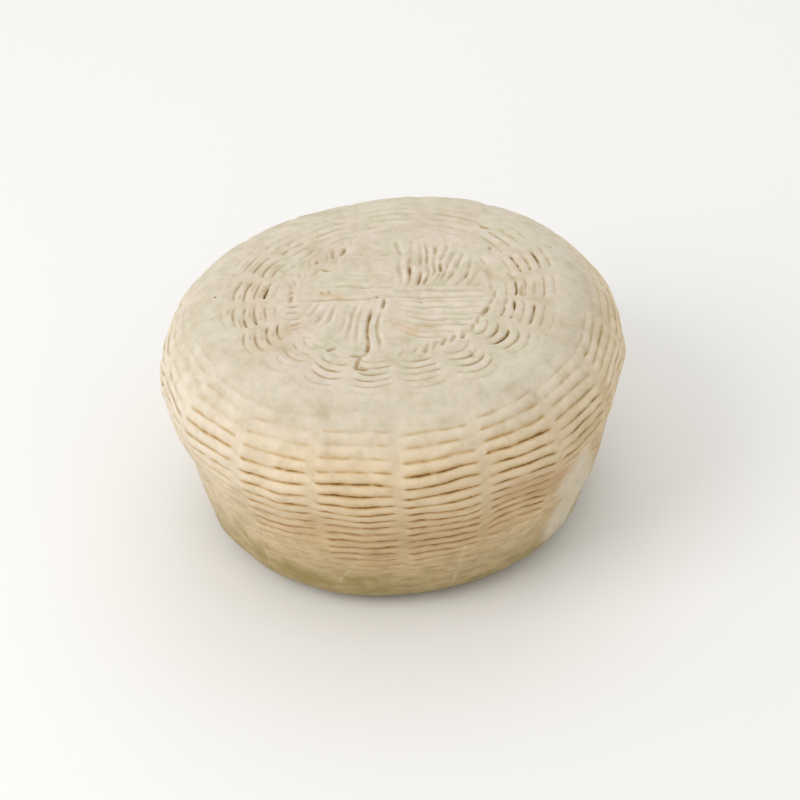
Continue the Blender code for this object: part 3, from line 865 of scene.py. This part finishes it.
def make_cheese():
    """The whole wheel, as one closed piece that carries what its material reads.

    A point lies as deep as the rows and the uprights' dents press together, or as a groove of the
    top where that is deeper, with specks and the rind's unevenness added, and less its lips and
    the raised streaks.
    """
    cell = np.arange(UPRIGHTS * COLUMNS_PER_CELL)[None, :] / COLUMNS_PER_CELL
    along, top_count, side_count = rind_rings(cell)
    cell = np.broadcast_to(cell, along.shape)
    angle = upright_angle(cell, along)
    plain = rind_point(along, angle)
    bald = bell(line_distance(plain, surface_line(BALD_PATCH))[0], BALD_BREADTH)
    top_depth, top_stain, top_crest_highlight = top_row_print(top_count, cell, plain)
    side_depth, side_stain, side_crest_highlight = side_row_print(along, side_count, cell, plain, bald)
    depth = top_depth + side_depth + upright_print(along, cell)
    stain = np.clip(top_stain + side_stain, 0, 1)
    on_top = (along < TOP_END).any(1)
    groove_depth, groove_stain, tint, lip_and_highlight = (np.zeros(along.shape) for _ in range(4))
    groove_depth[on_top], groove_stain[on_top], tint[on_top], lip_and_highlight[on_top] = top_grooves(
        along[on_top], angle[on_top])
    top_crest_highlight = top_crest_highlight * (1 - rise(groove_stain, *CLEAR_OF_GROOVES))
    both_stains = np.maximum(stain + groove_stain, LEAST_STAIN)
    tint = (tint * groove_stain + row_tint(along, cell) * stain) / both_stains
    wash, wash_tint = washes(plain)
    speck = specks(plain)
    streak, beside_streak = streaks(along, angle)
    depth = np.maximum(depth, groove_depth) - LIP_HEIGHT * lip_and_highlight + SPECK_DEPTH * speck
    depth -= STREAK_HEIGHT * streak * bell(beside_streak, STREAK_WIDTH)
    small_lumps = SMALL_LUMPS * swell(plain, SMALL_LUMPS * LUMP_SIZE, 62)
    lumps = LUMP_HEIGHT * (swell(plain, LUMP_SIZE, 61) + small_lumps)
    depth += TOP_LUMPS * lumps * (1 - rise(along, *TOP_LUMPS_END))
    fine_curd = FINE_CURD_SHARE * swell(plain, FINE_CURD_SIZE, 64, CURD_WAVES)
    curd = swell(plain, CURD_SIZE, 63, CURD_WAVES) + fine_curd
    depth += CURD_HEIGHT * curd * on_rind(along)
    mesh = grid_mesh("goat_cheese_wheel", rind_point(along, angle, depth, lumps))
    # The stain carries painted shade in part, and the crest is a painted highlight on the strands'
    # crests and the grooves' lips.
    carried = {"bald": bald, "stain": np.maximum(stain, groove_stain), "tint": tint,
               "crest": np.maximum(top_crest_highlight, np.maximum(side_crest_highlight, lip_and_highlight)),
               "wash": wash, "wash_tint": wash_tint, "along": along, "speck": speck,
               "streak": streak, "beside_streak": beside_streak}
    for name, values in carried.items():
        attribute = mesh.attributes.new(name, "FLOAT", "POINT")
        attribute.data.foreach_set("value", with_poles(values).astype(np.float32))
    cheese = bpy.data.objects.new("goat_cheese_wheel", mesh)
    bpy.context.scene.collection.objects.link(cheese)
    return cheese


class Signal:
    """An output of a shader's node. Arithmetic on it adds Math nodes, and node() any other node."""

    def __init__(self, tree, output=None):
        self.tree = tree
        self.output = output

    def node(self, kind, settings, inputs, output=0):
        """Adds a node, makes its settings, then gives its inputs their values or links."""
        made = self.tree.nodes.new(kind)
        for name, value in settings.items():
            if name == "stops":
                set_stops(made.color_ramp, value)
            else:
                setattr(made, name, value)
        for name, value in inputs.items():
            if isinstance(value, Signal):
                self.tree.links.new(value.output, made.inputs[name])
            else:
                made.inputs[name].default_value = value
        return Signal(self.tree, made.outputs[output])

    def maths(self, operation, first, second):
        """Adds a Math node that works on two signals or numbers."""
        return self.node("ShaderNodeMath", {"operation": operation}, {0: first, 1: second})

    def __add__(self, other):
        return self.maths("ADD", self, other)

    def __sub__(self, other):
        return self.maths("SUBTRACT", self, other)

    def __rsub__(self, other):
        return self.maths("SUBTRACT", other, self)

    def __mul__(self, other):
        return self.maths("MULTIPLY", self, other)

    __radd__ = __add__
    __rmul__ = __mul__

    def climb(self, low, high):
        """0 below low, 1 above high and smooth between."""
        return self.node("ShaderNodeMapRange", {"interpolation_type": "SMOOTHSTEP"},
                         {"Value": self, "From Min": low, "From Max": high})

    def blend(self, share, first, second, kind="MIX"):
        """The first colour where the share is 0, and the second, or its blend, where it is 1."""
        return self.node("ShaderNodeMix", {"data_type": "RGBA", "blend_type": kind},
                         {0: share, 6: first, 7: second}, 2)


def set_stops(ramp, stops):
    """Gives a colour ramp its stops, as pairs of place and colour."""
    while len(ramp.elements) < len(stops):
        ramp.elements.new(1.0)
    for element, (place, colour) in zip(ramp.elements, stops):
        element.position = place
        element.color = colour


def paint(*channels):
    """A colour given as on a screen, from 0 to 255, turned into what a shader takes.

    It undoes the sRGB curve: a straight line near black, and above it a power of 2.4.
    """
    shares = [channel / 255 for channel in channels]
    linear = [share / 12.92 if share < 0.04 else ((share + 0.055) / 1.055) ** 2.4
              for share in shares]
    return (*linear, 1.0)


# --- The rind's colours ---
TOP_CREAM = paint(208, 197, 175)
TOP_GREENISH = paint(206, 198, 174)
TOP_PINKISH = paint(211, 196, 179)
SHOULDER_CREAM = paint(209, 199, 178)
SIDE_CREAM = paint(220, 200, 168)
SIDE_PALE = paint(221, 208, 187)
LOW_TAN = paint(200, 176, 136)
FOOT_OLIVE = paint(158, 140, 94)
GREY_PATCH = paint(209, 199, 176)
TOP_OCHRE = paint(182, 162, 128)
OCHRE = paint(196, 163, 110)
BROWN = paint(156, 117, 64)
DARK_BROWN = paint(124, 84, 38)
OLIVE = paint(142, 126, 66)
PALE_OLIVE = paint(184, 166, 122)
DARK_OLIVE = paint(126, 108, 58)
REDDISH = paint(176, 137, 99)
DARK_REDDISH = paint(140, 100, 68)
SPECK_GREY = paint(74, 76, 66)
STREAK_PALE = paint(216, 198, 162)
# Painted highlight: the crests and lips are made this much lighter.
CREST_HIGHLIGHT = (1.09, 1.11, 1.15, 1)
MOTTLE = ((0.32, (0.89, 0.86, 0.80, 1)), (0.50, (0.99, 0.99, 0.99, 1)), (0.68, (1.05, 1.06, 1.08, 1)))
FLECKS = ((0.32, (0.86, 0.84, 0.78, 1)), (0.48, (0.99, 0.99, 0.99, 1)), (0.62, (1.06, 1.07, 1.10, 1)))
LOW_STREAKS = ((0.34, (0.80, 0.79, 0.76, 1)), (0.50, (1, 1, 1, 1)), (0.66, (1.07, 1.07, 1.06, 1)))

# Where one colour passes into the next: places along the profile, and metres left of the middle.
SHOULDER_EDGE = (53, 66)
SIDE_EDGE = (70, 90)
LOW_EDGE = (82, 122)
FOOT_EDGE = (124, 154)
TOP_STAIN_END = (56, 68)
LEFT_SIDE = (0.020, 0.075)
# How stained the rind is where each of the stain's colours comes in.
PALE_STEP = (0.02, 0.42)
DARK_STEP = (0.38, 0.85)
DARKEST_STEP = (0.82, 1.0)
FULL_TINT = 0.8                 # the tint at which a stain is wholly olive or reddish
MARK_EDGE = (0.3, 0.8)          # the edge of the smooth patch and of a speck
FLATTENED = (1, 1, 4.5)         # the streaky noises are this much finer upwards
CURD_GRAIN = 2.2
BUMP_STRENGTH = 0.7
BUMP_HEIGHT = 0.42
RIND_SOCKETS = {"Subsurface Weight": 0.18, "Subsurface Radius": (1.0, 0.6, 0.3),
                "Subsurface Scale": 0.0016, "Specular IOR Level": 0.35}


def rind_material():
    """The dry rind: cream above, tan and olive towards the foot, ochre to brown stain with painted
    shade in the print, and painted highlights.
    """
    material = bpy.data.materials.new("goat_cheese_rind")
    material.use_nodes = True
    tree = material.node_tree
    shader = tree.nodes["Principled BSDF"]
    start = Signal(tree)
    place = start.node("ShaderNodeTexCoord", {}, {}, "Object")

    def grain(size, detail, distortion=0.0, where=place, roughness=0.55):
        """Noise whose features are about that many millimetres, around one half."""
        return start.node("ShaderNodeTexNoise", {"noise_dimensions": "3D"},
                          {"Vector": where, "Scale": 1 / (size * MM), "Detail": detail,
                           "Roughness": roughness, "Distortion": distortion})

    def carried(name):
        """A number that the mesh carries."""
        return start.node("ShaderNodeAttribute", {"attribute_name": name}, {}, "Fac")

    def by_tint(tint, olive, brown, reddish):
        """Olive at a tint of -1, brown at 0 and reddish at 1."""
        warm = start.blend(tint.climb(0, FULL_TINT), brown, reddish)
        return start.blend((0 - tint).climb(0, FULL_TINT), warm, olive)

    def shaded(share, colour, stops, value):
        """The colour times a ramp's colour at a value, as far as the share says."""
        ramp = start.node("ShaderNodeValToRGB", {"stops": stops}, {"Fac": value}, "Color")
        return start.blend(share, colour, ramp, "MULTIPLY")

    along = carried("along")
    stain, tint = carried("stain"), carried("tint")
    broad, middling, small, fine = grain(22, 3), grain(14, 4, 0.6), grain(6, 3), grain(3.2, 5, 0.3)
    across = start.node("ShaderNodeSeparateXYZ", {}, {"Vector": place}, "X")
    left = (0 - across).climb(*LEFT_SIDE)
    level = start.node("ShaderNodeVectorMath", {"operation": "MULTIPLY"}, {0: place, 1: FLATTENED})
    streaky = grain(12, 4, where=level, roughness=0.6)
    thin_streaks = grain(7, 3, where=level, roughness=0.6)

    colour = start.blend((0.5 * broad + 0.5 * small).climb(0.40, 0.60), TOP_GREENISH, TOP_PINKISH)
    colour = start.blend(0.25, colour, TOP_CREAM)
    shoulder = (along + 10 * middling).climb(*SHOULDER_EDGE)
    colour = start.blend(shoulder * 0.75, colour, SHOULDER_CREAM)
    side = start.blend(left, SIDE_CREAM, SIDE_PALE)
    colour = start.blend((along + 12 * middling).climb(*SIDE_EDGE), colour, side)
    low = (along + 30 * middling + 16 * streaky - 23).climb(*LOW_EDGE)
    low_front = low * (1 - 0.5 * left)
    colour = start.blend(low_front, colour, LOW_TAN)
    foot = (along + 34 * middling + 26 * streaky - 30).climb(*FOOT_EDGE)
    colour = start.blend(foot, colour, FOOT_OLIVE)
    colour = shaded(0.6 + 0.4 * low, colour, MOTTLE, middling)
    colour = shaded(low_front, colour, LOW_STREAKS, thin_streaks)
    colour = start.blend(carried("bald").climb(*MARK_EDGE) * 0.8, colour, GREY_PATCH)
    colour = shaded(1.0, colour, FLECKS, 0.5 * small + 0.5 * fine)
    # Painted highlight on the strands' crests and the grooves' lips.
    colour = start.blend(carried("crest") * 0.8, colour, CREST_HIGHLIGHT, "MULTIPLY")

    washed = by_tint(carried("wash_tint"), OLIVE, OCHRE, REDDISH)
    colour = start.blend(carried("wash") * (0.3 + 0.7 * fine + 0.7 * streaky), colour, washed)
    beside = carried("beside_streak") + 1.6 * (small - 0.5)
    thin = beside.climb(-1.0, -0.1) * (1 - beside.climb(0.1, 1.0))
    colour = start.blend(carried("streak") * thin * fine.climb(0.35, 0.62) * 0.5, colour, STREAK_PALE)

    # The stain is real ochre to brown stain and, in the halos above the side's seams and in deep
    # grooves, painted shade as well.
    stained = stain * (0.30 + 0.75 * fine + 0.65 * grain(1.4, 2))
    side_stain = by_tint(tint, PALE_OLIVE, OCHRE, REDDISH)
    pale_stain = start.blend(along.climb(*TOP_STAIN_END), TOP_OCHRE, side_stain)
    colour = start.blend(stained.climb(*PALE_STEP) * 0.8, colour, pale_stain)
    dark_stain = by_tint(tint, DARK_OLIVE, BROWN, DARK_REDDISH)
    colour = start.blend(stained.climb(*DARK_STEP), colour, dark_stain)
    colour = start.blend(stained.climb(*DARKEST_STEP) * 0.8, colour, DARK_BROWN)
    colour = start.blend(carried("speck").climb(*MARK_EDGE), colour, SPECK_GREY)
    tree.links.new(colour.output, shader.inputs["Base Color"])

    roughness = 0.50 + 0.22 * fine + 0.10 * middling
    tree.links.new(roughness.output, shader.inputs["Roughness"])
    curd = start.node("ShaderNodeTexVoronoi", {"feature": "SMOOTH_F1"},
                      {"Vector": place, "Scale": 1 / (CURD_GRAIN * MM)}, "Distance")
    skin = 0.55 * fine + 0.35 * grain(0.9, 3) + 0.35 * curd
    bump = start.node("ShaderNodeBump", {}, {"Height": skin, "Strength": BUMP_STRENGTH,
                                             "Distance": BUMP_HEIGHT * MM}, "Normal")
    tree.links.new(bump.output, shader.inputs["Normal"])
    for name, value in RIND_SOCKETS.items():
        shader.inputs[name].default_value = value
    return material


# --- Camera and light ---
CAMERA_ELEVATION = 37.18
CAMERA_DISTANCE = 808.9
TARGET_HEIGHT = 40.0
LENS = 104.2
SENSOR_WIDTH = 36.0
CAMERA_SHIFT = (-0.0094, -0.0042)
# Lamps: name, azimuth, elevation, then distance and size in metres, and power in watts.
LAMPS = (("key", 213, 40, 1.1, 0.6, 4.1), ("back", 80, 50, 1.1, 0.8, 1.5))
LAMP_TARGET = Vector((0, 0, 0.04))
FLOOR_HALF = 3.0
FLOOR_COLOUR = (0.88, 0.88, 0.87, 1)
FLOOR_ROUGHNESS = 0.9
SKY_COLOUR = (1.0, 0.99, 0.97, 1)
SKY_STRENGTH = 0.80


def aim(name, data, target, away, distance):
    """An object that stands away from a target by a distance, and faces it."""
    made = bpy.data.objects.new(name, data)
    made.location = target + away * distance
    made.rotation_mode = "QUATERNION"
    made.rotation_quaternion = away.to_track_quat("Z", "Y")
    bpy.context.scene.collection.objects.link(made)
    return made


def make_camera():
    """Looks along +Y from in front, at the point that the photograph's view is centred near."""
    elevation = radians(CAMERA_ELEVATION)
    target = Vector((AXIS_FOOT[0], AXIS_FOOT[1], TARGET_HEIGHT)) * MM
    away = Vector((0, -cos(elevation), sin(elevation)))
    data = bpy.data.cameras.new("camera")
    data.lens = LENS
    data.sensor_width = SENSOR_WIDTH
    data.shift_x, data.shift_y = CAMERA_SHIFT
    bpy.context.scene.camera = aim("camera", data, target, away, CAMERA_DISTANCE * MM)


def make_lamp(name, azimuth, elevation, distance, size, power):
    """A square soft light that shines at the wheel's middle."""
    turn, climb = radians(azimuth), radians(elevation)
    away = Vector((cos(turn) * cos(climb), sin(turn) * cos(climb), sin(climb)))
    data = bpy.data.lights.new(name, "AREA")
    data.size = size
    data.energy = power
    aim(name, data, LAMP_TARGET, away, distance)


def make_studio():
    """A plain pale floor, an even pale sky, and soft lamps from the left front and from behind."""
    mesh = bpy.data.meshes.new("floor")
    half = FLOOR_HALF
    mesh.from_pydata([(-half, -half, 0), (half, -half, 0), (half, half, 0), (-half, half, 0)],
                     [], [(0, 1, 2, 3)])
    floor = bpy.data.objects.new("floor", mesh)
    bpy.context.scene.collection.objects.link(floor)
    material = bpy.data.materials.new("floor")
    material.use_nodes = True
    shader = material.node_tree.nodes["Principled BSDF"]
    shader.inputs["Base Color"].default_value = FLOOR_COLOUR
    shader.inputs["Roughness"].default_value = FLOOR_ROUGHNESS
    mesh.materials.append(material)
    world = bpy.data.worlds.new("studio")
    world.use_nodes = True
    sky = world.node_tree.nodes["Background"]
    sky.inputs["Color"].default_value = SKY_COLOUR
    sky.inputs["Strength"].default_value = SKY_STRENGTH
    bpy.context.scene.world = world
    bpy.context.scene.view_settings.view_transform = "Standard"
    for lamp in LAMPS:
        make_lamp(*lamp)


make_camera()
make_studio()
cheese = make_cheese()
cheese.data.materials.append(rind_material())
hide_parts(NODE)
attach(cheese, "root")
